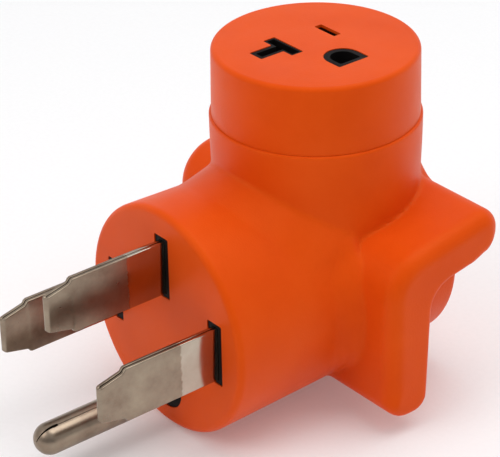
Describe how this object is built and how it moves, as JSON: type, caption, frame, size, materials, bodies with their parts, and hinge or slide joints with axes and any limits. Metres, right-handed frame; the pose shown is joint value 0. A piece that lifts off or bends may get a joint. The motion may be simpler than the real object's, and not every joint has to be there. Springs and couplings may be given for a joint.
{
  "type": "right-angle plug adapter",
  "caption": "Rigid right-angle mains adapter: flat and round plug blades in front, a three-slot receptacle on top, a hooked finger grip on each side.",
  "frame": {"origin": "centre of the orange plug face, midway between the two line blades", "axes": "+Y into the body, blades point along -Y; +Z out of the receptacle face; +X towards the line X blade"},
  "size_m": [0.076, 0.1021, 0.0796],
  "materials": {
    "orange_pvc": "satin moulded, fine spark texture",
    "black_nylon": "satin moulded",
    "nickel_plate": "nickel plated, rolled sheet",
    "brass": "stamped sheet",
    "rivet_steel": "bright",
    "copper": "drawn wire",
    "insulation_black": "extruded",
    "insulation_white": "extruded",
    "insulation_green": "extruded"
  },
  "bodies": {
    "adapter": {"over_mould": "orange_pvc", "receptacle_cap": "orange_pvc", "plug_core": "black_nylon", "plug_core_back": "black_nylon", "receptacle_core": "black_nylon", "contact_carrier": "black_nylon", "neutral_blade": "nickel_plate", "line_x_blade": "nickel_plate", "line_y_blade": "nickel_plate", "ground_pin": "nickel_plate", "hot_contact": "brass", "neutral_contact": "brass", "ground_contact": "brass", "hot_rivet": "rivet_steel", "neutral_bar_rivet": "rivet_steel", "neutral_stem_rivet": "rivet_steel", "ground_rivet": "rivet_steel", "hot_wire": "insulation_black", "neutral_wire": "insulation_white", "ground_wire": "insulation_green", "hot_conductor": "copper", "neutral_conductor": "copper", "ground_conductor": "copper"},
    "hot_leaf": {"hot_leaf": "brass"},
    "neutral_bar_leaf": {"neutral_bar_leaf": "brass"},
    "neutral_stem_leaf": {"neutral_stem_leaf": "brass"},
    "ground_leaf": {"ground_leaf": "brass"}
  },
  "joints": [
    {"name": "hot_leaf_flex", "type": "hinge", "parent": "adapter", "child": "hot_leaf", "pos_m": [-0.0034, 0.05245, 0.0275], "axis": [-1, 0, 0], "range_deg": [0, 4], "stiffness_Nm_per_rad": 0.4},
    {"name": "neutral_bar_leaf_flex", "type": "hinge", "parent": "adapter", "child": "neutral_bar_leaf", "pos_m": [-0.0034, 0.03975, 0.0275], "axis": [-1, 0, 0], "range_deg": [0, 4], "stiffness_Nm_per_rad": 0.4},
    {"name": "neutral_stem_leaf_flex", "type": "hinge", "parent": "adapter", "child": "neutral_stem_leaf", "pos_m": [-0.0008, 0.0327, 0.0275], "axis": [0, 1, 0], "range_deg": [0, 4], "stiffness_Nm_per_rad": 0.4},
    {"name": "ground_leaf_flex", "type": "hinge", "parent": "adapter", "child": "ground_leaf", "pos_m": [0.0133, 0.0435, 0.0275], "axis": [0, 1, 0], "range_deg": [0, 4], "stiffness_Nm_per_rad": 0.4}
  ]
}
